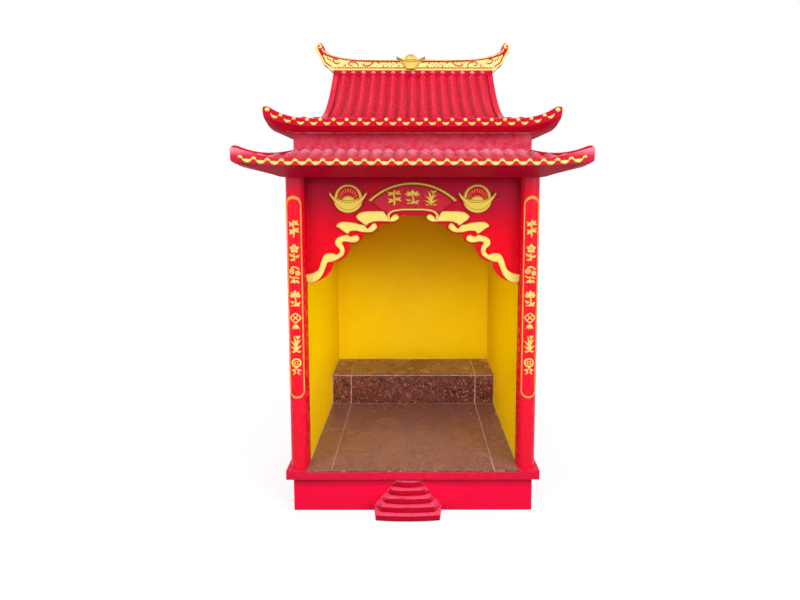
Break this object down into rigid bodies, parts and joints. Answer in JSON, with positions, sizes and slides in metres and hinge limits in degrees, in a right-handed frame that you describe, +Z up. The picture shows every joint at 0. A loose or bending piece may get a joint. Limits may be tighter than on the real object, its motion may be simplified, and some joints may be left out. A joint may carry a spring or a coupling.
{
  "type": "outdoor altar shrine",
  "caption": "A cast, painted outdoor altar shrine: a deep niche with a tiled floor and ledge stands on a stepped plinth under a two-tier tiled roof with upturned corners.",
  "frame": {"origin": "centre of the plinth's footprint, on the ground", "axes": "+X to the right of someone facing the niche, +Y from the front to the back, +Z up"},
  "size_m": [1.581, 1.736, 2.464],
  "materials": {
    "red_paint": "gloss red enamel paint on cast cement",
    "gold_paint": "pale gold gloss paint on cast relief",
    "yellow_paint": "satin yellow wall paint on cast cement",
    "granite_tile": "polished speckled red-brown granite tile",
    "cement": "bare cement masonry, hidden under the tiles"
  },
  "bodies": {
    "root": {"plinth": "red_paint", "base_slab": "red_paint", "bottom_step": "red_paint", "second_step": "red_paint", "third_step": "red_paint", "fourth_step": "red_paint", "top_step": "red_paint", "floor_tiles": "granite_tile", "riser_tiles": "granite_tile", "ledge_tiles": "granite_tile", "ledge_core": "cement", "left_wall": "red_paint", "right_wall": "red_paint", "back_wall": "yellow_paint", "left_post": "red_paint", "right_post": "red_paint", "arch_panel": "red_paint", "left_board": "red_paint", "right_board": "red_paint", "left_board_border": "gold_paint", "right_board_border": "gold_paint", "left_ribbon": "gold_paint", "right_ribbon": "gold_paint", "fan_plaque": "red_paint", "fan_top_rim": "gold_paint", "fan_foot_rim": "gold_paint", "left_ingot_medallion": "gold_paint", "right_ingot_medallion": "gold_paint", "lower_front_slope": "red_paint", "lower_right_slope": "red_paint", "lower_back_slope": "red_paint", "lower_left_slope": "red_paint", "lower_deck": "red_paint", "lower_hip_ribs": "red_paint", "lower_eave_trim": "gold_paint", "roof_band": "red_paint", "upper_front_slope": "red_paint", "upper_back_slope": "red_paint", "upper_right_slope": "red_paint", "upper_left_slope": "red_paint", "upper_deck": "red_paint", "left_gable": "red_paint", "right_gable": "red_paint", "upper_hip_ribs": "red_paint", "verge_ribs": "red_paint", "upper_eave_trim": "gold_paint", "ridge_board": "red_paint", "ridge_border": "gold_paint", "ridge_ingot": "gold_paint"}
  },
  "joints": []
}
